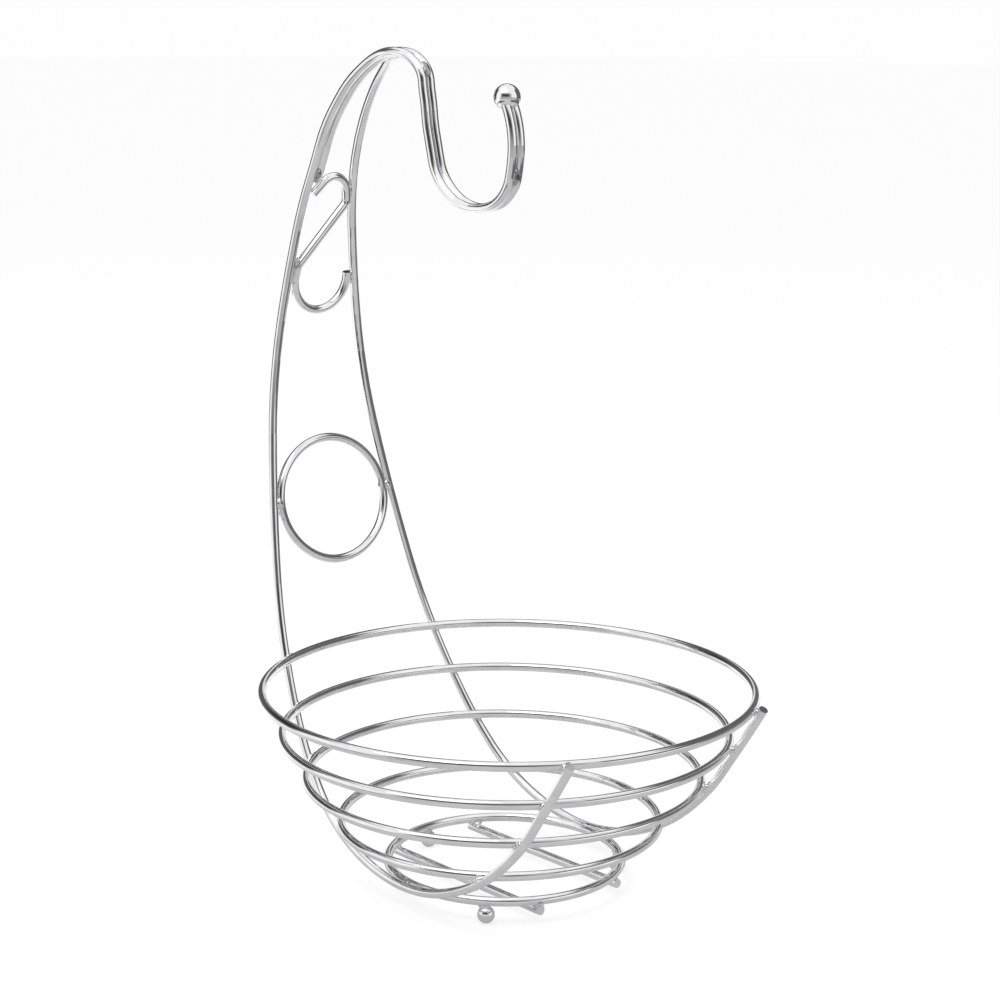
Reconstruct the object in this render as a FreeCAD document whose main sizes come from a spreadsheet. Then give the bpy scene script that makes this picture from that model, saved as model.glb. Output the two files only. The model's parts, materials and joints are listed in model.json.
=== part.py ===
import FreeCAD, Part
import math
import os
from FreeCAD import Placement, Rotation, Vector

# Fruit bowl with a banana hanger, welded up from round steel wire and plated.
#
# Five level rings make the bowl. Two long rails carry them: each rail starts at the
# front of the rim, runs down outside the rings, passes beside the base ring, comes up
# behind the bowl and leans in to the crest. The left rail goes on over the crest and,
# with a second wire beside it, makes the hook, which ends in a ball. A circle and an
# S scroll hold the rails apart. Two bars cross under the base ring, on three ball feet.
#
# Millimetres. Z is up, the floor is Z = 0, and the base ring's axis is the Z axis. The
# rails stand behind the bowl at +Y, and the hook reaches forward to -Y. A "reach" is a
# distance behind that axis. A "step" is a distance behind the station before, and a
# "rise" there is a height above it.

SIZES = [
    # wires, and the play between two welded pieces
    ("ring_wire", 4.8, "diameter of the ring wire"),
    ("rail_wire", 4.8, "diameter of the rails and of the hook's second wire"),
    ("scroll_wire", 4.8, "diameter of the circle's and the scroll's wire"),
    ("bar_wire", 4.8, "diameter of the two bars under the base"),
    ("weld_play", 0.1, "clear distance between two welded pieces"),
    # bowl
    ("rim_diameter", 260.0, "outside diameter of the rim"),
    ("upper_diameter", 237.4, "outside diameter of the second ring"),
    ("middle_diameter", 211.2, "outside diameter of the third ring"),
    ("lower_diameter", 172.4, "outside diameter of the fourth ring"),
    ("base_diameter", 127.5, "outside diameter of the base ring"),
    ("rim_rise", 94.2, "height of the rim above the base ring"),
    ("upper_rise", 70.8, "height of the second ring above the base ring"),
    ("middle_rise", 46.5, "height of the third ring above the base ring"),
    ("lower_rise", 21.2, "height of the fourth ring above the base ring"),
    ("rim_offset", -2.4, "how far the rim's centre lies behind the base ring's"),
    ("upper_offset", -0.3, "the same for the second ring"),
    ("middle_offset", 1.1, "the same for the third ring"),
    ("lower_offset", 3.8, "the same for the fourth ring"),
    # feet and bars
    ("foot_diameter", 9.0, "diameter of a ball foot"),
    ("left_foot_angle", 51.0, "degrees from the front to the left foot"),
    ("right_foot_angle", 58.0, "degrees from the front to the right foot"),
    ("bar_spacing", 54.6, "distance between the two bars"),
    # rails round the bowl
    ("front_spacing", 135.0, "distance between the rails at the front of the rim"),
    ("rail_end", 4.0, "length of a rail past its weld to the rim"),
    ("base_reach", 4.0, "reach of the rails where they pass the base ring"),
    # stem in side view: where it holds the circle, then steps back and up from there
    ("circle_reach", 143.8, "reach of the stem at the circle's centre"),
    ("circle_rise", 171.2, "height of the circle's centre above the base ring"),
    ("bulge_step", 11.5, "step back to where the stem stands furthest back"),
    ("bulge_rise", 79.3, "step up to that station"),
    ("scroll_step", -2.4, "step back to the scroll's lower turn"),
    ("scroll_rise", 43.0, "step up to the centre of that turn"),
    ("fork_step", -10.0, "step back to where the hook's second wire begins"),
    ("fork_rise", 54.6, "step up to that station"),
    ("stem_bow", 2.0, "how far each rail stands further out at the neck and below the crest"),
    ("neck_step", -15.3, "step back to the neck"),
    ("neck_rise", 36.4, "step up to the neck"),
    ("nape_step", -17.9, "step back to the stem below the crest"),
    ("nape_rise", 21.2, "step up to that station"),
    ("right_end_step", -16.3, "step back to the right rail's end"),
    ("right_end_rise", 10.0, "step up to that end"),
    # hook in side view, stepped on in the same way from the right rail's end to the tip
    ("crest_step", -10.9, "step back to the crest"),
    ("crest_rise", 1.1, "step up to the crest"),
    ("brow_step", -11.5, "step back to where the hook turns down"),
    ("brow_rise", -2.4, "step up to that station"),
    ("temple_step", -8.3, "step back to the end of that turn"),
    ("temple_rise", -6.6, "step up to that station"),
    ("limb_step", -3.1, "step back to the hook's rear limb"),
    ("limb_rise", -12.1, "step up to that station"),
    ("knee_step", -3.5, "step back to the rear limb's lower end"),
    ("knee_rise", -20.1, "step up to that station"),
    ("heel_step", -9.1, "step back to the hook's rear bend"),
    ("heel_rise", -23.7, "step up to that station"),
    ("throat_step", -23.6, "step back to the hook's bottom"),
    ("throat_rise", -11.7, "step up to the hook's bottom"),
    ("toe_step", -24.7, "step back to the hook's front bend"),
    ("toe_rise", 8.4, "step up to that station"),
    ("shin_step", -5.9, "step back to the hook's front limb"),
    ("shin_rise", 18.3, "step up to that station"),
    ("tip_step", 6.0, "step back to the wires' ends in the ball"),
    ("tip_rise", 27.5, "step up to those ends"),
    ("ball_diameter", 13.4, "diameter of the ball at the hook's tip"),
    ("ball_inset", 1.5, "distance from the wires' ends to the ball's centre"),
    # circle and scroll between the rails
    ("circle_flattening", 1.8, "how much less the circle's half height is than its half width"),
    ("scroll_upper_radius", 9.5, "centreline radius of the scroll's upper turn"),
    ("scroll_bend_radius", 4.5, "centreline radius of the bends at the diagonal's ends"),
    ("scroll_lower_lead", 5.5, "run beside the left rail below the diagonal"),
    ("scroll_upper_lead", 6.5, "run beside the right rail above the diagonal"),
    ("scroll_tail_slope", 45.0, "degrees between the scroll's tail and the level"),
]

RINGS = ["rim", "upper", "middle", "lower", "base"]
CARRIED_RINGS = RINGS[:4]
STEM = ["circle", "bulge", "scroll", "fork", "neck", "nape", "right_end"]
BOWED = ["neck", "nape"]
HOOK = ["crest", "brow", "temple", "limb", "knee", "heel", "throat", "toe", "shin", "tip"]
SEATING_PASSES = 6

doc = FreeCAD.newDocument("fruit_bowl_with_banana_hanger")


def make_sheet():
    """Write every driving size into the sheet, one row each."""
    sheet = doc.addObject("Spreadsheet::Sheet", "Sizes")
    for row, (name, value, note) in enumerate(SIZES, start=1):
        sheet.set(f"A{row}", name)
        sheet.set(f"B{row}", str(value))
        sheet.set(f"C{row}", note)
        sheet.setAlias(f"B{row}", name)
    doc.recompute()
    return sheet


SHEET = make_sheet()


def size(name):
    return float(SHEET.get(name))


# Places that follow from the sizes

PAIR_SPACING = size("rail_wire") + size("weld_play")
RAIL_TO_RING = (size("rail_wire") + size("ring_wire")) / 2 + size("weld_play")
RAIL_TO_SCROLL = (size("rail_wire") + size("scroll_wire")) / 2 + size("weld_play")


def ring_radius(ring):
    return (size(ring + "_diameter") - size("ring_wire")) / 2


BASE_HEIGHT = size("foot_diameter") + size("ring_wire") / 2 + size("weld_play")
BASE_SIDE = ring_radius("base") + RAIL_TO_RING


def side_view():
    """Reach and height of each station from the circle to the tip."""
    reach, height = size("circle_reach"), BASE_HEIGHT + size("circle_rise")
    places = {"circle": (reach, height)}
    for name in STEM[1:] + HOOK:
        reach += size(name + "_step")
        height += size(name + "_rise")
        places[name] = (reach, height)
    return places


SIDE_VIEW = side_view()
STEM_TOP = SIDE_VIEW["right_end"][1]
# sideways lean of each rail behind the bowl, per unit of height
LEAN = (BASE_SIDE - PAIR_SPACING) / (STEM_TOP - BASE_HEIGHT)
# the rails lean most on the short run up to the right rail's end, where they close in
CLOSING = size("stem_bow") + LEAN * size("right_end_rise")
CLOSING_RUN = math.hypot(size("right_end_step"), size("right_end_rise"))
STEEPEST_LEAN = 1.5 * CLOSING / CLOSING_RUN
# sideways step between neighbouring wires that keeps their play even there
PAIR_STEP = PAIR_SPACING * math.hypot(1, STEEPEST_LEAN)


def ring_height(ring):
    return BASE_HEIGHT + size(ring + "_rise")


def front_side(height):
    """Sideways distance of a rail in front of the bowl."""
    share = (height - BASE_HEIGHT) / size("rim_rise")
    return BASE_SIDE + share * (size("front_spacing") / 2 - BASE_SIDE)


def stem_side(height):
    """Sideways distance of a rail behind the bowl, where the two lean together."""
    return PAIR_STEP + LEAN * (STEM_TOP - height)


# Wires are bent as tangent arcs, two between each station and the next


def station_direction(before, here, after):
    """Direction, at the middle point, of the circle through three points."""
    arriving = here - before
    leaving = after - here
    ratio = leaving.Length / arriving.Length
    return (arriving * ratio + leaving / ratio).normalize()


def directions(points):
    inner = [station_direction(*points[i - 1:i + 2]) for i in range(1, len(points) - 1)]
    first_chord = (points[1] - points[0]).normalize()
    last_chord = (points[-1] - points[-2]).normalize()
    first = first_chord * (2 * inner[0].dot(first_chord)) - inner[0]
    last = last_chord * (2 * inner[-1].dot(last_chord)) - inner[-1]
    return [first] + inner + [last]


def two_arcs(start, leaving, end, arriving):
    """Two arcs between two stations, each as start, corner and end of equal legs."""
    chord = end - start
    both = leaving + arriving
    slack = chord.dot(both)
    leg = chord.dot(chord) / (slack + math.sqrt(slack ** 2 + (4 - both.dot(both)) * chord.dot(chord)))
    first_corner = start + leaving * leg
    second_corner = end - arriving * leg
    joint = (first_corner + second_corner) / 2
    return [(start, first_corner, joint), (joint, second_corner, end)]


def rounded(start, corner, end):
    """The arc that touches both equal legs of a corner, or a line where they don't turn."""
    middle = (start + end) / 2
    half_turn_cosine = (end - start).Length / 2 / (corner - start).Length
    if half_turn_cosine > 1 - 1e-9:
        return Part.LineSegment(start, end).toShape()
    depth = half_turn_cosine / (1 + half_turn_cosine)
    return Part.Arc(start, middle + (corner - middle) * depth, end).toShape()


# Rails


def seat_on_ring(ring, side, front, way):
    """Centre of a rail that touches a ring from outside, at a sideways distance."""
    outward = Vector(0, -1 if front else 1, 0)
    for _ in range(SEATING_PASSES):
        ring_x = side - RAIL_TO_RING * outward.x
        ring_y = math.sqrt(ring_radius(ring) ** 2 - ring_x ** 2)
        from_centre = Vector(ring_x, -ring_y if front else ring_y, 0)
        along_ring = Vector(-from_centre.y, from_centre.x, 0)
        outward = along_ring.cross(way).normalize()
        if outward.dot(from_centre) < 0:
            outward = outward * -1
    centre = Vector(0, size(ring + "_offset"), ring_height(ring))
    return centre + from_centre + outward * RAIL_TO_RING


def rail_stations(ways):
    """Stations of the right rail, and of the hook's right-hand side, by name."""
    stations = {}
    for ring in CARRIED_RINGS:
        name = "front_" + ring
        stations[name] = seat_on_ring(ring, front_side(ring_height(ring)), True, ways[name])
    stations["base"] = Vector(BASE_SIDE, size("base_reach"), BASE_HEIGHT)
    for ring in reversed(CARRIED_RINGS):
        name = "back_" + ring
        stations[name] = seat_on_ring(ring, stem_side(ring_height(ring)), False, ways[name])
    for name, (reach, height) in SIDE_VIEW.items():
        side = stem_side(height) if name in STEM else PAIR_STEP
        if name in BOWED:
            side += size("stem_bow")
        stations[name] = Vector(side, reach, height)
    return stations


def settle_rail():
    """Stations and their directions, repeated until the rail touches each ring."""
    down, up = Vector(0, 0, -1), Vector(0, 0, 1)
    ways = {"front_" + ring: down for ring in CARRIED_RINGS}
    ways.update({"back_" + ring: up for ring in CARRIED_RINGS})
    for _ in range(SEATING_PASSES):
        stations = rail_stations(ways)
        ways = dict(zip(stations, directions(list(stations.values()))))
        # up to the fork the rails stay straight in front view, and bow out only above it
        ways["fork"] = Vector(-LEAN * ways["fork"].z, ways["fork"].y, ways["fork"].z).normalize()
    return stations, ways


STATIONS, WAYS = settle_rail()


def stem_slope(way):
    """A direction seen from the side, without the sideways lean."""
    return Vector(0, way.y, way.z).normalize()


def rail_edges(last, first="front_rim"):
    """Edges of the right rail between two named stations."""
    names = list(STATIONS)
    edges = []
    for i in range(names.index(first), names.index(last)):
        here, there = names[i], names[i + 1]
        for arc in two_arcs(STATIONS[here], WAYS[here], STATIONS[there], WAYS[there]):
            edges.append(rounded(*arc))
    if first == "front_rim":
        start = STATIONS[first] - WAYS[first] * size("rail_end")
        edges.insert(0, Part.LineSegment(start, STATIONS[first]).toShape())
    return edges


def mirrored(edges):
    return [edge.mirror(Vector(0, 0, 0), Vector(1, 0, 0)) for edge in edges]


def beside(edges):
    """Edges moved from the left rail to the second wire's place."""
    return [edge.translated(Vector(PAIR_STEP, 0, 0)) for edge in edges]


def sweep_wire(name, edges, diameter):
    """A round wire along a route; its diameter is an expression of the sheet."""
    route = doc.addObject("Part::Feature", name + "_route")
    route.Shape = Part.Wire(edges)
    first = route.Shape.OrderedEdges[0]
    start = first.valueAt(first.FirstParameter)
    section = doc.addObject("Part::Circle", name + "_section")
    section.setExpression("Radius", f"({diameter}) / 2")
    section.Placement = Placement(start, Rotation(Vector(0, 0, 1), first.tangentAt(first.FirstParameter)))
    wire = doc.addObject("Part::Sweep", name)
    wire.Sections = [section]
    wire.Spine = (route, [f"Edge{i + 1}" for i in range(len(edges))])
    wire.Solid = True
    wire.Label = name
    return wire


def make_rails():
    left = sweep_wire("left_rail", mirrored(rail_edges("tip")), "Sizes.rail_wire")
    right = sweep_wire("right_rail", rail_edges("right_end"), "Sizes.rail_wire")
    return [left, right]


def make_hook_wire():
    """The hook's second wire runs beside the left rail, on the side of the right one."""
    return sweep_wire("hook_wire", beside(mirrored(rail_edges("tip", "fork"))), "Sizes.rail_wire")


def make_ball():
    """The ball at the hook's tip, with a socket for each of the two wires."""
    solid = doc.addObject("Part::Sphere", "solid_ball")
    solid.setExpression("Radius", "Sizes.ball_diameter / 2")
    centre = STATIONS["tip"] + stem_slope(WAYS["tip"]) * size("ball_inset")
    solid.Placement.Base = Vector(-PAIR_STEP / 2, centre.y, centre.z)
    bore = "Sizes.rail_wire + 2 * Sizes.weld_play"
    last_bend = mirrored(rail_edges("tip", "shin"))
    left_socket = sweep_wire("left_socket", last_bend, bore)
    right_socket = sweep_wire("right_socket", beside(last_bend), bore)
    half = doc.addObject("Part::Cut", "ball_with_left_socket")
    half.Base = solid
    half.Tool = left_socket
    ball = doc.addObject("Part::Cut", "hook_ball")
    ball.Base = half
    ball.Tool = right_socket
    ball.Label = "hook_ball"
    return ball


# Rings


def make_ring(ring):
    torus = doc.addObject("Part::Torus", ring + "_ring")
    torus.setExpression("Radius1", f"(Sizes.{ring}_diameter - Sizes.ring_wire) / 2")
    torus.setExpression("Radius2", "Sizes.ring_wire / 2")
    height = "Sizes.foot_diameter + Sizes.ring_wire / 2 + Sizes.weld_play"
    if ring in CARRIED_RINGS:
        height += f" + Sizes.{ring}_rise"
        torus.setExpression("Placement.Base.y", f"Sizes.{ring}_offset")
    torus.setExpression("Placement.Base.z", height)
    torus.Label = ring + "_ring"
    return torus


# Circle and scroll, each flat and seated between the leaning rails


def side_angle(slope):
    """Angle in degrees between a rail and the middle of the stem, in the stem's plane."""
    return math.degrees(math.atan(LEAN * slope.z))


def seated_radius(height, angle):
    """Centreline radius of a turn on the stem's middle that touches both rails."""
    return stem_side(height) * math.cos(math.radians(angle)) - RAIL_TO_SCROLL


def at_angle(degrees, radius=1.0):
    """A flat vector at an angle from +X."""
    return Vector(math.cos(math.radians(degrees)), math.sin(math.radians(degrees)), 0) * radius


def turn(centre, radius, start, end):
    """An arc between two angles, as three points."""
    return [centre + at_angle(angle, radius) for angle in (start, (start + end) / 2, end)]


def stand_up(edges, foot, slope):
    """Edges drawn flat, X sideways and Y up the stem, set up at their place on it."""
    place = Placement(foot, Rotation(Vector(1, 0, 0), slope, Vector(1, 0, 0).cross(slope)))
    return [edge.transformed(place.toMatrix()) for edge in edges]


def circle_edges(angle):
    """The nearly round circle: tight arcs beside the rails, wider ones above and below."""
    flattening = size("circle_flattening")
    reach = seated_radius(SIDE_VIEW["circle"][1], angle)
    # centre of a side arc from the middle; its edge there stays in touch with the rail
    side_centre = 2 * flattening
    side_radius = reach - side_centre * math.cos(math.radians(angle))
    half_height = side_centre + side_radius - flattening
    radius = (side_centre ** 2 + half_height ** 2 - side_radius ** 2) / 2 / (half_height - side_radius)
    joint = math.degrees(math.atan2(radius - half_height, side_centre))
    top = turn(Vector(0, half_height - radius, 0), radius, joint, 180 - joint)
    left = turn(Vector(-side_centre, 0, 0), side_radius, 180 - joint, 180 + joint)
    bottom = turn(Vector(0, radius - half_height, 0), radius, 180 + joint, 360 - joint)
    right = turn(Vector(side_centre, 0, 0), side_radius, -joint, joint)
    return [Part.Arc(*arc).toShape() for arc in (top, left, bottom, right)]


def make_circle():
    slope = stem_slope(WAYS["circle"])
    centre = Vector(0, *SIDE_VIEW["circle"])
    edges = stand_up(circle_edges(side_angle(slope)), centre, slope)
    return sweep_wire("stem_circle", edges, "Sizes.scroll_wire")


def bend(before, corner, after, radius):
    """Start, corner and end of the bend that rounds a corner between two runs."""
    back = (before - corner).normalize()
    ahead = (after - corner).normalize()
    leg = radius / math.tan(back.getAngle(ahead) / 2)
    return [corner + back * leg, corner, corner + ahead * leg]


def upper_centre(angle, fork_rise):
    """Centre of the upper turn: it touches the right rail and clears the hook wire's end."""
    radius = size("scroll_upper_radius")
    to_rail = at_angle(angle)
    rail_distance = stem_side(SIDE_VIEW["scroll"][1]) * to_rail.x - RAIL_TO_SCROLL - radius
    wire_end = Vector(PAIR_STEP - stem_side(SIDE_VIEW["fork"][1]), fork_rise, 0)
    lowest_corner = wire_end + at_angle(-angle, size("rail_wire") / 2)
    off_tail = at_angle(size("scroll_tail_slope") - 90)
    clearance = size("scroll_wire") / 2 + size("weld_play") + radius
    tail_distance = lowest_corner.dot(off_tail) + clearance
    # the point at both distances
    cross = to_rail.x * off_tail.y - to_rail.y * off_tail.x
    return Vector((rail_distance * off_tail.y - tail_distance * to_rail.y) / cross,
                  (tail_distance * to_rail.x - rail_distance * off_tail.x) / cross, 0)


def scroll_edges(angle, fork_rise):
    """The scroll's centreline, drawn flat."""
    lower_radius = seated_radius(SIDE_VIEW["scroll"][1], angle)
    upper_radius = size("scroll_upper_radius")
    along_left, along_right = at_angle(90 - angle), at_angle(90 + angle)
    lower_turn = turn(Vector(0, 0, 0), lower_radius, angle, -180 - angle)
    tail_start = size("scroll_tail_slope") + 90
    upper_turn = turn(upper_centre(angle, fork_rise), upper_radius, angle, tail_start)
    lower_corner = lower_turn[2] + along_left * size("scroll_lower_lead")
    upper_corner = upper_turn[0] - along_right * size("scroll_upper_lead")
    lower_bend = bend(lower_turn[2], lower_corner, upper_corner, size("scroll_bend_radius"))
    upper_bend = bend(lower_corner, upper_corner, upper_turn[0], size("scroll_bend_radius"))

    # the tail's cut end stops at the left rail
    tail_way = at_angle(tail_start + 90)
    off_left_rail = at_angle(-angle)
    half_end = size("scroll_wire") / 2 * abs(tail_way.dot(along_left))
    end_distance = size("rail_wire") / 2 + size("weld_play") + half_end
    rail_foot = Vector(-stem_side(SIDE_VIEW["scroll"][1]), 0, 0)
    start_distance = (upper_turn[2] - rail_foot).dot(off_left_rail)
    tail_length = (start_distance - end_distance) / -tail_way.dot(off_left_rail)

    return [
        Part.Arc(*lower_turn).toShape(),
        Part.LineSegment(lower_turn[2], lower_bend[0]).toShape(),
        rounded(*lower_bend),
        Part.LineSegment(lower_bend[2], upper_bend[0]).toShape(),
        rounded(*upper_bend),
        Part.LineSegment(upper_bend[2], upper_turn[0]).toShape(),
        Part.Arc(*upper_turn).toShape(),
        Part.LineSegment(upper_turn[2], upper_turn[2] + tail_way * tail_length).toShape(),
    ]


def make_scroll():
    """The flat scroll stands on the chord of the stem from its lower turn to the fork."""
    foot = Vector(0, *SIDE_VIEW["scroll"])
    chord = Vector(0, *SIDE_VIEW["fork"]) - foot
    slope = stem_slope(chord)
    edges = stand_up(scroll_edges(side_angle(slope), chord.Length), foot, slope)
    return sweep_wire("stem_scroll", edges, "Sizes.scroll_wire")


# Bars and feet


def make_bar(name, side):
    """A straight bar under the base ring, cut off level with the ring's outside."""
    bar = doc.addObject("Part::Cylinder", name)
    bar.setExpression("Radius", "Sizes.bar_wire / 2")
    offset = size("bar_spacing") / 2
    half = math.sqrt(ring_radius("base") ** 2 - offset ** 2) + size("ring_wire") / 2
    bar.Height = 2 * half
    height = BASE_HEIGHT - (size("ring_wire") + size("bar_wire")) / 2 - size("weld_play")
    bar.Placement = Placement(Vector(side * offset, half, height), Rotation(Vector(0, 0, 1), Vector(0, -1, 0)))
    bar.Label = name
    return bar


def make_foot(name, angle):
    """A ball foot under the base ring; the angle runs from the front."""
    foot = doc.addObject("Part::Sphere", name)
    foot.setExpression("Radius", "Sizes.foot_diameter / 2")
    under_ring = at_angle(angle - 90, ring_radius("base"))
    foot.Placement.Base = Vector(under_ring.x, under_ring.y, size("foot_diameter") / 2)
    foot.Label = name
    return foot


def build():
    pieces = [make_ring(ring) for ring in RINGS]
    pieces += make_rails()
    pieces += [make_hook_wire(), make_ball(), make_circle(), make_scroll()]
    pieces += [make_bar("left_base_bar", -1), make_bar("right_base_bar", 1)]
    pieces += [make_foot("front_left_foot", -size("left_foot_angle")),
               make_foot("front_right_foot", size("right_foot_angle")),
               make_foot("rear_foot", 180)]
    doc.recompute()
    return pieces


def check(pieces):
    """Stop if anything failed, so that no broken solid is written."""
    for thing in doc.Objects:
        if "Invalid" in thing.State or "Error" in thing.State:
            raise RuntimeError(f"{thing.Label} failed")
    for piece in pieces:
        shape = piece.Shape
        if shape.isNull() or not shape.isValid() or len(shape.Solids) != 1:
            raise RuntimeError(f"{piece.Label} is not one valid solid")


PIECES = build()
check(PIECES)
os.makedirs("parts", exist_ok=True)
for piece in PIECES:
    piece.Shape.exportStep(f"parts/{piece.Label}.step")
    print(f"{piece.Label}: {piece.Shape.Volume:.0f} mm3")
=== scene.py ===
import json
import math
import random
import bmesh
import bpy
import numpy as np
from mathutils import Matrix, Vector
from mathutils import noise as rough
from mathutils.bvhtree import BVHTree


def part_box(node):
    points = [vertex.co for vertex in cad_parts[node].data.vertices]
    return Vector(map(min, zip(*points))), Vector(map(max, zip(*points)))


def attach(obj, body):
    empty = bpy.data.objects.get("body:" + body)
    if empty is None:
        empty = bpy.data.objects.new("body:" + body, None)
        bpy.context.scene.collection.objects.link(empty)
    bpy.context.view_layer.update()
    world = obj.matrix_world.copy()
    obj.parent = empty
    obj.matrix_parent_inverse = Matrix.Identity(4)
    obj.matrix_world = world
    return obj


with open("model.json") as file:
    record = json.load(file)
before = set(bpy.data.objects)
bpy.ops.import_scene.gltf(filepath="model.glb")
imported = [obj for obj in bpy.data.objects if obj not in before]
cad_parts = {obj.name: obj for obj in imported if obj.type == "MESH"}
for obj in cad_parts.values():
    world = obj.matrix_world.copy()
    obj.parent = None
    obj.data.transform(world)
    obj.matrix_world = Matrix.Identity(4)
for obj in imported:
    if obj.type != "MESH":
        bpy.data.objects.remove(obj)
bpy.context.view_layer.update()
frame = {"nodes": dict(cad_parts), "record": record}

# The chrome wire fruit bowl with its banana hanger, in metres. Z is up, the rails stand
# behind the bowl at +Y and the hook opens towards -Y.

MM = 0.001
CM = 0.01
RINGS = ["rim_ring", "upper_ring", "middle_ring", "lower_ring", "base_ring"]
RAILS = ["left_rail", "right_rail"]
BARS = ["left_base_bar", "right_base_bar"]
FEET = ["front_left_foot", "front_right_foot", "rear_foot"]
SLOTS = {row["node"]: row["material_slot"] for row in frame["record"]["subparts"]}
WIRE_RADIUS = 2.4 * MM
BALL_RADIUS = {"foot_ball": 4.5 * MM, "hook_ball": 6.7 * MM}


def add_object(name, data):
    thing = bpy.data.objects.new(name, data)
    bpy.context.scene.collection.objects.link(thing)
    return thing


# Nodes of materials


def socket(node, name, value):
    node.inputs[name].default_value = value


def new_material(name):
    material = bpy.data.materials.new(name)
    material.use_nodes = True
    material.node_tree.nodes.clear()
    return material, material.node_tree.nodes, material.node_tree.links


def noise(nodes, links, coordinates, scale, detail, roughness=0.5):
    texture = nodes.new("ShaderNodeTexNoise")
    socket(texture, "Scale", scale)
    socket(texture, "Detail", detail)
    socket(texture, "Roughness", roughness)
    links.new(coordinates, texture.inputs["Vector"])
    return texture.outputs["Fac"]


def ramp(nodes, links, source, low, high, low_value, high_value):
    """A value that runs smoothly between two values as the source does."""
    change = nodes.new("ShaderNodeMapRange")
    change.interpolation_type = "SMOOTHSTEP"
    socket(change, "From Min", low)
    socket(change, "From Max", high)
    socket(change, "To Min", low_value)
    socket(change, "To Max", high_value)
    links.new(source, change.inputs["Value"])
    return change.outputs["Result"]


def bump(nodes, links, height, strength, depth, normal=None):
    relief = nodes.new("ShaderNodeBump")
    socket(relief, "Strength", strength)
    socket(relief, "Distance", depth)
    links.new(height, relief.inputs["Height"])
    if normal is not None:
        links.new(normal, relief.inputs["Normal"])
    return relief.outputs["Normal"]


def calculate(nodes, links, operation, *values):
    """A maths node's result; each value is a float or another node's output."""
    result = nodes.new("ShaderNodeMath")
    result.operation = operation
    for entry, value in zip(result.inputs, values):
        if isinstance(value, float):
            entry.default_value = value
        else:
            links.new(value, entry)
    return result.outputs[0]


# Chrome

# Noise in the plating: its scale, its detail and, where it isn't a half, its roughness
CLOUDS = (90.0, 4.0)
PATCHES = (260.0, 5.0, 0.62)
WAVES = (110.0, 1.0)
MARKS = (900.0, 1.0)
CLOUD_EDGES = (0.38, 0.62)
PATCH_EDGES = (0.45, 0.75)
THIN_PLATING = (0.93, 0.93, 0.95)  # share of each colour that is left where it is thin
WAVE_DEPTH = 0.0012
MARK_DEPTH = 0.0002
MARK_STRENGTH = 0.008
# Tone, roughness where polished and where hazy, and strength of the waves
FINISHES = {
    "bowl_wire": (0.9, 0.03, 0.09, 0.035),
    "rail_wire": (0.9, 0.03, 0.09, 0.035),
    "ornament_wire": (0.9, 0.03, 0.1, 0.05),
    "base_wire": (0.88, 0.04, 0.13, 0.05),
    "foot_ball": (0.9, 0.02, 0.06, 0.02),
    "hook_ball": (0.9, 0.02, 0.06, 0.02),
}
WELD_FINISH = (0.84, 0.07, 0.24, 0.35)
SPATTER_FINISH = (0.42, 0.12, 0.4, 0.6)


def chrome(name, tone, polish, haze, ripple):
    """Bright plating over wire: polish and haze are its least and most roughness."""
    material, nodes, links = new_material(name)
    output = nodes.new("ShaderNodeOutputMaterial")
    shader = nodes.new("ShaderNodeBsdfPrincipled")
    socket(shader, "Metallic", 1.0)
    links.new(shader.outputs["BSDF"], output.inputs["Surface"])
    coordinates = nodes.new("ShaderNodeTexCoord").outputs["Object"]

    # plating tone, a little darker where the bath left it thin
    clouds = noise(nodes, links, coordinates, *CLOUDS)
    colour = nodes.new("ShaderNodeMix")
    colour.data_type = "RGBA"
    colour.inputs["A"].default_value = (*(tone * share for share in THIN_PLATING), 1.0)
    colour.inputs["B"].default_value = (tone, tone, tone, 1.0)
    links.new(ramp(nodes, links, clouds, *CLOUD_EDGES, 0.0, 1.0), colour.inputs["Factor"])
    links.new(colour.outputs["Result"], shader.inputs["Base Color"])

    # polish, with hazy patches and fine specks
    patches = noise(nodes, links, coordinates, *PATCHES)
    shine = ramp(nodes, links, patches, *PATCH_EDGES, polish, haze)
    links.new(shine, shader.inputs["Roughness"])

    # the wire's own slight waviness under fine polishing marks
    waves = noise(nodes, links, coordinates, *WAVES)
    marks = noise(nodes, links, coordinates, *MARKS)
    broad = bump(nodes, links, waves, ripple, WAVE_DEPTH)
    fine = bump(nodes, links, marks, MARK_STRENGTH, MARK_DEPTH, broad)
    links.new(fine, shader.inputs["Normal"])
    return material


MATERIALS = {slot: chrome("chrome_" + slot, *finish) for slot, finish in FINISHES.items()}
WELD_METAL = chrome("chrome_weld", *WELD_FINISH)
SPATTER_METAL = chrome("chrome_spatter", *SPATTER_FINISH)

for node, thing in frame["nodes"].items():
    thing.data.materials.clear()
    thing.data.materials.append(MATERIALS[SLOTS[node]])


# Where the wires meet


class Surface:
    """A node's surface, for finding where two pieces touch and how each lies there."""

    def __init__(self, node):
        mesh = frame["nodes"][node].data
        self.points = [vertex.co.copy() for vertex in mesh.vertices]
        faces = [tuple(face.vertices) for face in mesh.polygons]
        self.tree = BVHTree.FromPolygons(self.points, faces)
        self.ball = SLOTS[node] in BALL_RADIUS
        self.radius = BALL_RADIUS.get(SLOTS[node], WIRE_RADIUS)

    def direction(self, place):
        """The wire's direction near a place: no face there leans towards it."""
        near = self.tree.find_nearest_range(place, 2 * self.radius)
        normals = np.array([normal for _, normal, _, _ in near])
        return Vector(np.linalg.svd(normals)[2][2])


SURFACES = {node: Surface(node) for node in frame["nodes"]}
WIDEST_GAP = 0.5 * MM      # between two pieces that count as touching
JOINT_SPACING = 12 * MM    # touching places closer than this are one joint
STEPS_TO_NEAREST = 60


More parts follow.
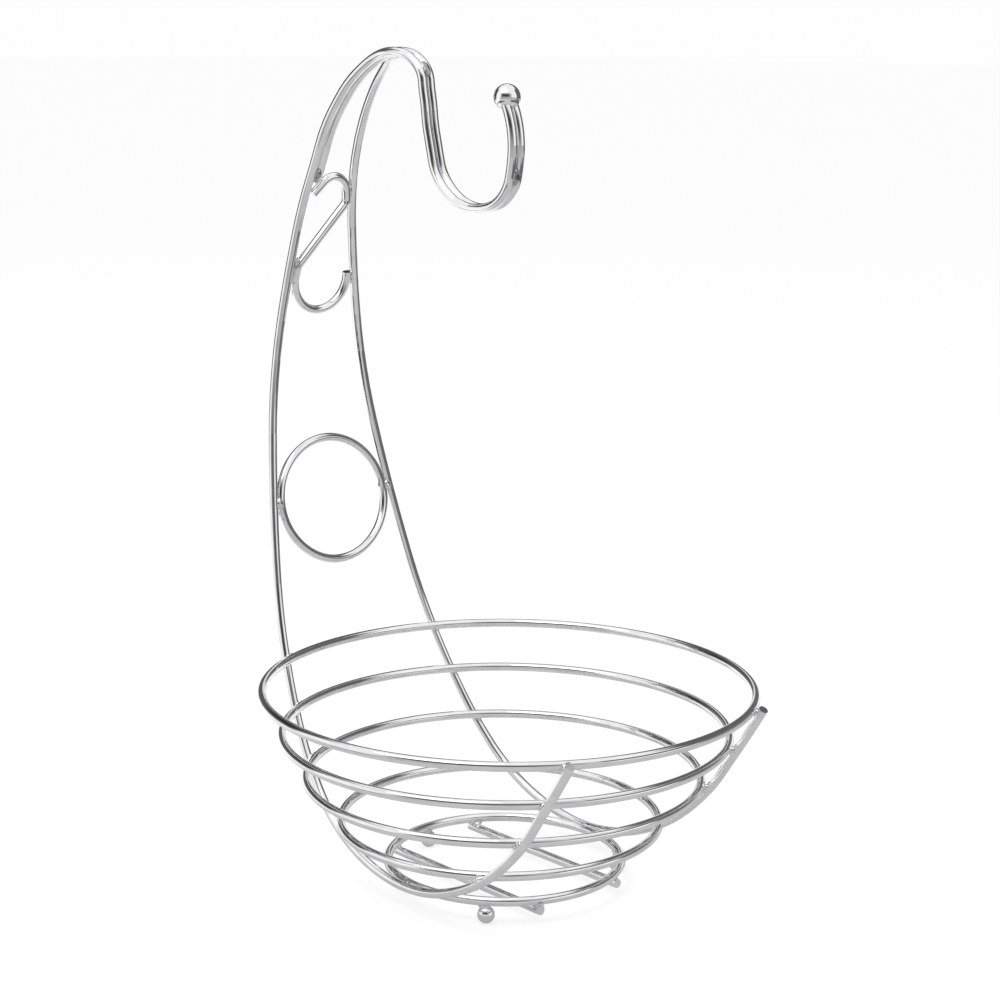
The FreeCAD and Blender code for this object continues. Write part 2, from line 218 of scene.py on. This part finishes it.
def contacts(first, second):
    """Places where two nodes touch, as the middle of each gap and the way across it."""
    one, other = SURFACES[first], SURFACES[second]
    swapped = len(one.points) > len(other.points)
    if swapped:
        one, other = other, one
    found = []
    for point in other.points:
        place, _, _, distance = one.tree.find_nearest(point, WIDEST_GAP)
        if place is not None:
            found.append((distance, place, point))
    found.sort(key=lambda row: row[0])
    chosen = []
    for distance, place, point in found:
        middle = (place + point) / 2
        if all((middle - there).length > JOINT_SPACING for there, _ in chosen):
            across = (point - place).normalized()
            chosen.append((middle, -across if swapped else across))
    return chosen


def side_by_side(first, second, near):
    """Middle of the gap between two nodes nearest to a place, and the way across it."""
    there = near
    for _ in range(STEPS_TO_NEAREST):
        here = SURFACES[first].tree.find_nearest(there)[0]
        there = SURFACES[second].tree.find_nearest(here)[0]
    return (here + there) / 2, (there - here).normalized()


def add_piece(name, mesh, metal, second):
    """A piece of weld, made of the given metal; the second wire that it joins is not used."""
    mesh.shade_smooth()
    mesh.materials.append(metal)
    piece = add_object(name, mesh)
    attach(piece, "root")


# Weld fillets: rings of points round a joint, from one wire's surface to the other's

AROUND = 40
PROFILE = [i / 5 - 1 for i in range(11)]  # each ring's height, from -1 to 1
NARROWEST_WAIST = 0.2 * MM
WAIST_STEP = 0.05 * MM
TOE = 0.75 * MM                    # how far the edges stand out past the waist
EDGE_DEPTH = 0.12 * MM             # how far they go down, past the middle of the gap
CORE = 0.5 * MM                    # depth of the two end points, inside the wires
LUMP_TURNS = (2, 3, 5)
LARGEST_LUMP = 0.07
STEEPEST_SIDE = 0.97               # share of a radius
JOINT_WELD = (0.9 * MM, 3.2 * MM)  # widest groove that the metal fills, and its reach
PAIR_WELD = (2.2 * MM, 2.6 * MM)


def sag(offset, radius):
    """How far a round surface has fallen away, at a distance beside its top."""
    offset = min(abs(offset), radius * STEEPEST_SIDE)
    return radius - math.sqrt(radius * radius - offset * offset)


def fillet_faces():
    top = (len(PROFILE) - 1) * AROUND
    low_middle, high_middle = top + AROUND, top + AROUND + 1
    faces = []
    for row in range(0, top, AROUND):
        above = row + AROUND
        for k in range(AROUND):
            after = (k + 1) % AROUND
            faces.append((row + k, row + after, above + after, above + k))
    for k in range(AROUND):
        after = (k + 1) % AROUND
        faces.append((low_middle, after, k))
        faces.append((high_middle, top + k, top + after))
    return faces


def weld(name, first, second, place, across, size, seed):
    """A fillet round the place where two pieces touch, with its edges sunk into both."""
    thickness, longest = size
    one, other = SURFACES[first], SURFACES[second]
    along = one.direction(place)
    flat = (along - across * along.dot(across)).normalized()
    side = across.cross(flat)
    other_side = across.cross(other.direction(place)).normalized()
    draw = random.Random(seed)
    lumps = [(draw.uniform(0.0, LARGEST_LUMP), draw.uniform(0.0, math.tau), turns)
             for turns in LUMP_TURNS]

    def fallen(distance, angle):
        """How far each surface has fallen away, at a distance from the joint."""
        step = flat * (math.cos(angle) * distance) + side * (math.sin(angle) * distance)
        low = sag(distance if one.ball else step.dot(side), one.radius)
        high = sag(distance if other.ball else step.dot(other_side), other.radius)
        return low, high

    rings = [[] for _ in PROFILE]
    for k in range(AROUND):
        angle = math.tau * k / AROUND
        waist = NARROWEST_WAIST
        while waist < longest and sum(fallen(waist, angle)) < thickness:
            waist += WAIST_STEP
        waist *= 1 + sum(lump * math.sin(turns * angle + phase) for lump, phase, turns in lumps)
        low, high = fallen(waist + TOE, angle)
        out = flat * math.cos(angle) + side * math.sin(angle)
        for ring, share in zip(rings, PROFILE):
            distance = waist + TOE * share ** 2
            height = (low + high) * (share + 1) / 2 - low + EDGE_DEPTH * share ** 9
            ring.append(place + out * distance + across * height)
    points = [point for ring in rings for point in ring]
    points += [place - across * CORE, place + across * CORE]
    mesh = bpy.data.meshes.new(name)
    mesh.from_pydata(points, [], fillet_faces())
    add_piece(name, mesh, WELD_METAL, second)


# Lumps of spilled weld, by half their sizes

NUGGET_OFFSET = 1.75 * MM  # from the middle of the gap out to the lump's middle
NUGGET_HEIGHT = 1.5 * MM
NUGGET_WIDTH = 2.2 * MM
CIRCLE_NUGGET = 2.8 * MM   # along the wires
PAIR_NUGGET = 4.0 * MM
NUGGET_BUMPS = ((0.22, 1.7), (0.10, 4.5))  # height and scale of each kind of bump


def nugget(name, first, second, place, across, length, seed, metal):
    """A lump of spilled weld in the groove between two wires, on their front side."""
    along = SURFACES[first].direction(place)
    along = (along - across * along.dot(across)).normalized()
    out = across.cross(along)
    if out.y > 0:
        out = -out
    shape = bmesh.new()
    bmesh.ops.create_icosphere(shape, subdivisions=4, radius=1.0)
    shift = Vector((seed, 2.0 * seed, 0))
    for vertex in shape.verts:
        bumps = [height * rough.noise(vertex.co * scale + shift) for height, scale in NUGGET_BUMPS]
        spot = vertex.co * (1 + sum(bumps))
        vertex.co = (place + out * (NUGGET_OFFSET + NUGGET_HEIGHT * spot.z)
                     + across * (NUGGET_WIDTH * spot.x) + along * (length * spot.y))
    mesh = bpy.data.meshes.new(name)
    shape.to_mesh(mesh)
    shape.free()
    add_piece(name, mesh, metal, second)


# All joints

# places along the wires that lie side by side, in millimetres
PAIR_WELDS = [
    ("left_rail", "hook_wire", (-13.5, 142.0, 363.0)),
    ("left_rail", "hook_wire", (-2.5, 62.7, 419.3)),
    ("left_rail", "hook_wire", (-2.5, -5.5, 369.0)),
    ("hook_wire", "right_rail", (2.6, 94.5, 426.5)),
]


def make_welds():
    seed = 1
    pairs = [(ring, rail) for ring in RINGS for rail in RAILS]
    pairs += [("base_ring", piece) for piece in BARS + FEET]
    pairs += [(rail, "stem_scroll") for rail in RAILS]
    for first, second in pairs:
        for place, across in contacts(first, second):
            weld(f"weld_{seed:02d}", first, second, place, across, JOINT_WELD, seed)
            seed += 1
    for first, second, near in PAIR_WELDS:
        joint = (first, second, *side_by_side(first, second, Vector(near) * MM))
        weld(f"weld_{seed:02d}", *joint, PAIR_WELD, seed)
        if first == "left_rail":
            nugget(f"nugget_{seed:02d}", *joint, PAIR_NUGGET, seed, SPATTER_METAL)
        seed += 1
    low, high = (Vector(corner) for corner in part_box("stem_circle"))
    middle = (low + high) / 2
    for rail, edge in (("left_rail", low.x), ("right_rail", high.x)):
        near = Vector((edge, middle.y, middle.z))
        joint = (rail, "stem_circle", *side_by_side(rail, "stem_circle", near))
        weld(f"weld_{seed:02d}", *joint, PAIR_WELD, seed)
        nugget(f"nugget_{seed:02d}", *joint, CIRCLE_NUGGET, seed, WELD_METAL)
        seed += 1


make_welds()


# Camera: azimuth and elevation of its place, seen from the object, and its roll

CAMERA_AZIMUTH = math.radians(-42.458)
CAMERA_ELEVATION = math.radians(11.849)
CAMERA_ROLL = math.radians(0.42)
CAMERA_DISTANCE = 1.126
CAMERA_LENS = 79.355
CAMERA_SENSOR = 36.0
AIM_SIDEWAYS = -3.64 * MM
AIM_HEIGHT = 206.08 * MM


def towards(azimuth, elevation=0.0):
    """Unit direction; azimuth 0 is -Y, the front, and it grows towards +X."""
    level = math.cos(elevation)
    return Vector((math.sin(azimuth) * level, -math.cos(azimuth) * level, math.sin(elevation)))


def make_camera():
    back = towards(CAMERA_AZIMUTH, CAMERA_ELEVATION)
    level_right = towards(CAMERA_AZIMUTH + math.pi / 2)
    level_up = back.cross(level_right)
    right = level_right * math.cos(CAMERA_ROLL) + level_up * math.sin(CAMERA_ROLL)
    up = level_up * math.cos(CAMERA_ROLL) - level_right * math.sin(CAMERA_ROLL)
    aim = level_right * AIM_SIDEWAYS + Vector((0, 0, AIM_HEIGHT))
    data = bpy.data.cameras.new("camera")
    data.sensor_width = CAMERA_SENSOR
    data.lens = CAMERA_LENS
    data.clip_end = 100.0
    camera = add_object("camera", data)
    rotation = Matrix((right, up, back)).transposed().to_4x4()
    camera.matrix_world = Matrix.Translation(aim + back * CAMERA_DISTANCE) @ rotation
    bpy.context.scene.camera = camera


# Studio: a white background and floor, and grey cards of painted reflection that only reflections
# see

FLOOR_REACH = 30.0
FLOOR_TONE = 0.6
FLOOR_SEEN = 0.675               # its glow for the camera
FLOOR_PAINTED_REFLECTION = (0.20, 0.72)   # and a painted reflection, a glow only reflections see: near, and on the side behind
FLOOR_CHANGE = (0.04, 0.36)      # how far that way the one turns into the other
BEHIND_AZIMUTH = CAMERA_AZIMUTH - math.radians(150)
WORLD_LIGHT = 0.5
WORLD_SEEN = 0.985
LAMP_SIZE = 1.6
LAMP_ENERGY = 9.0
LAMP_DISTANCE = 2.2
LAMP_AZIMUTH = CAMERA_AZIMUTH - math.radians(50)
LAMP_ELEVATION = math.radians(62)


def seen_level(nodes, links, seen, reflected):
    """One level for what the camera sees, another for reflections, none for light."""
    rays = nodes.new("ShaderNodeLightPath").outputs
    glossy, passed = rays["Is Glossy Ray"], rays["Is Transmission Ray"]
    mirrored = calculate(nodes, links, "MAXIMUM", glossy, passed)
    low = calculate(nodes, links, "MULTIPLY", mirrored, reflected)
    return calculate(nodes, links, "MULTIPLY_ADD", rays["Is Camera Ray"], seen, low)


def floor_material():
    material, nodes, links = new_material("pale_floor")
    output = nodes.new("ShaderNodeOutputMaterial")
    both = nodes.new("ShaderNodeAddShader")
    board = nodes.new("ShaderNodeBsdfDiffuse")
    socket(board, "Color", (FLOOR_TONE, FLOOR_TONE, FLOOR_TONE, 1.0))
    glow = nodes.new("ShaderNodeEmission")
    behind = nodes.new("ShaderNodeVectorMath")
    behind.operation = "DOT_PRODUCT"
    behind.inputs[1].default_value = towards(BEHIND_AZIMUTH)
    links.new(nodes.new("ShaderNodeNewGeometry").outputs["Position"], behind.inputs[0])
    # painted reflection: in reflections the floor glows darker near the bowl than the camera sees
    # it
    reflected = ramp(nodes, links, behind.outputs["Value"], *FLOOR_CHANGE, *FLOOR_PAINTED_REFLECTION)
    links.new(seen_level(nodes, links, FLOOR_SEEN, reflected), glow.inputs["Strength"])
    links.new(board.outputs[0], both.inputs[0])
    links.new(glow.outputs[0], both.inputs[1])
    links.new(both.outputs[0], output.inputs["Surface"])
    return material


def make_floor():
    square = [(-1, -1), (1, -1), (1, 1), (-1, 1)]
    corners = [(x * FLOOR_REACH, y * FLOOR_REACH, 0) for x, y in square]
    mesh = bpy.data.meshes.new("floor")
    mesh.from_pydata(corners, [], [(0, 1, 2, 3)])
    mesh.materials.append(floor_material())
    floor = add_object("floor", mesh)


def make_world():
    """White for the camera and for reflections, and softer as light."""
    world = bpy.data.worlds.new("white_studio")
    world.use_nodes = True
    nodes, links = world.node_tree.nodes, world.node_tree.links
    nodes.clear()
    output = nodes.new("ShaderNodeOutputWorld")
    background = nodes.new("ShaderNodeBackground")
    rays = nodes.new("ShaderNodeLightPath").outputs
    seen = calculate(nodes, links, "MAXIMUM", rays["Is Camera Ray"], rays["Is Glossy Ray"])
    seen = calculate(nodes, links, "MAXIMUM", seen, rays["Is Transmission Ray"])
    level = nodes.new("ShaderNodeMapRange")
    socket(level, "To Min", WORLD_LIGHT)
    socket(level, "To Max", WORLD_SEEN)
    socket(background, "Color", (1.0, 1.0, 1.0, 1.0))
    links.new(seen, level.inputs["Value"])
    links.new(level.outputs["Result"], background.inputs["Strength"])
    links.new(background.outputs[0], output.inputs["Surface"])
    bpy.context.scene.world = world


def make_lamp():
    """One large soft lamp above and to the left, for the floor's gentle shadow."""
    data = bpy.data.lights.new("soft_lamp", "AREA")
    data.shape = "DISK"
    data.size = LAMP_SIZE
    data.energy = LAMP_ENERGY
    lamp = add_object("soft_lamp", data)
    way = towards(LAMP_AZIMUTH, LAMP_ELEVATION)
    rotation = way.to_track_quat("Z", "Y").to_matrix().to_4x4()
    lamp.matrix_world = Matrix.Translation(way * LAMP_DISTANCE) @ rotation


# Cards: painted reflections, grey and dark glowing sheets that only reflections see

CARD_STEP = 4.0  # degrees or centimetres between their points
BOWL_MIDDLE = Vector((0, 0, 0.2))
STEM_MIDDLE = Vector((0, 0.15, 0.22))
STEM_FOOT = Vector((0, 0.15, 1.5 * MM))

# Curved cards round a middle. Each has its name, where it runs sideways, in degrees from
# the camera to the right, and upwards, in degrees from the level, its brightness, the
# width of its soft edges in degrees, its distance and its middle.
CARDS = [
    ("card_rear_left", (-184, -98), (-9, 50), 0.11, 11, 1.30, BOWL_MIDDLE),
    ("card_rear_left_core", (-150, -106), (9, 34), 0.03, 8, 1.26, BOWL_MIDDLE),
    ("card_rear", (164, 196), (18, 46), 0.04, 8, 1.24, BOWL_MIDDLE),
    ("card_rear_right", (84, 178), (-4, 54), 0.13, 9, 1.32, BOWL_MIDDLE),
    ("card_low_right", (78, 140), (-9, 0), 0.015, 6, 1.20, BOWL_MIDDLE),
    ("card_front", (-64, 46), (-9, 48), 0.42, 16, 1.40, BOWL_MIDDLE),
    ("card_front_left", (-60, 30), (2, 48), 0.045, 22, 1.36, BOWL_MIDDLE),
    ("card_near_right", (34, 140), (-9, 9), 0.15, 4, 0.50, STEM_MIDDLE),
]
# painted dark reflections: these strips lie on the floor, but only reflections see them
# Strips on the floor. Each has its name, where it runs sideways, and outwards from the
# stem's foot in centimetres, its brightness and the width of its soft edges.
STRIPS = [
    ("strip_left_near", (-126, -32), (42, 64), 0.02, 10),
    ("strip_left_far", (-84, -10), (58, 84), 0.004, 8),
]


def painted_reflection_material(name, level, edge_across, edge_up):
    """An even grey glow, painted into reflections, that fades out towards the card's edges."""
    material, nodes, links = new_material(name)
    output = nodes.new("ShaderNodeOutputMaterial")
    glow = nodes.new("ShaderNodeEmission")
    socket(glow, "Strength", level)
    clear = nodes.new("ShaderNodeBsdfTransparent")
    split = nodes.new("ShaderNodeSeparateXYZ")
    links.new(nodes.new("ShaderNodeTexCoord").outputs["UV"], split.inputs[0])
    fades = []
    for axis, edge in (("X", edge_across), ("Y", edge_up)):
        share = split.outputs[axis]
        fades.append(ramp(nodes, links, share, 0.0, edge, 0, 1))
        fades.append(ramp(nodes, links, share, 1.0 - edge, 1.0, 1, 0))
    cover = fades[0]
    for fade in fades[1:]:
        cover = calculate(nodes, links, "MULTIPLY", cover, fade)
    mix = nodes.new("ShaderNodeMixShader")
    links.new(cover, mix.inputs[0])
    links.new(clear.outputs[0], mix.inputs[1])
    links.new(glow.outputs[0], mix.inputs[2])
    links.new(mix.outputs[0], output.inputs["Surface"])
    return material


def make_card(name, sideways, upwards, level, edge, place):
    """A soft-edged card of painted reflection, with its points where place says."""
    width, rise = sideways[1] - sideways[0], upwards[1] - upwards[0]
    across = max(2, round(width / CARD_STEP))
    up = max(2, round(rise / CARD_STEP))
    points, faces, shares = [], [], []
    for row in range(up + 1):
        for column in range(across + 1):
            share = (column / across, row / up)
            azimuth = math.radians(sideways[0] + width * share[0])
            points.append(place(CAMERA_AZIMUTH + azimuth, upwards[0] + rise * share[1]))
            shares.append(share)
    for row in range(up):
        for column in range(across):
            corner = row * (across + 1) + column
            faces.append((corner, corner + 1, corner + across + 2, corner + across + 1))
    mesh = bpy.data.meshes.new(name)
    mesh.from_pydata(points, [], faces)
    layer = mesh.uv_layers.new(name="share")
    for loop in mesh.loops:
        layer.data[loop.index].uv = shares[loop.vertex_index]
    soft_edges = min(edge / width, 0.5), min(edge / rise, 0.5)
    mesh.materials.append(painted_reflection_material(name, level, *soft_edges))
    card = add_object(name, mesh)
    # hidden from the camera and from light: only reflections see this painted reflection
    card.visible_camera = False
    card.visible_diffuse = False
    card.visible_shadow = False


def curved_place(middle, radius):
    """Where a curved card's points are: by azimuth, and by height in degrees."""
    def place(azimuth, height):
        return middle + towards(azimuth, math.radians(height)) * radius
    return place


def floor_place(azimuth, reach):
    """Where a strip's points are: by azimuth, and by distance in centimetres."""
    return STEM_FOOT + towards(azimuth) * reach * CM


def make_cards():
    for name, sideways, heights, level, edge, radius, middle in CARDS:
        make_card(name, sideways, heights, level, edge, curved_place(middle, radius))
    for name, sideways, reaches, level, edge in STRIPS:
        make_card(name, sideways, reaches, level, edge, floor_place)


make_camera()
make_floor()
make_world()
make_lamp()
make_cards()
bpy.context.scene.view_settings.view_transform = "Standard"
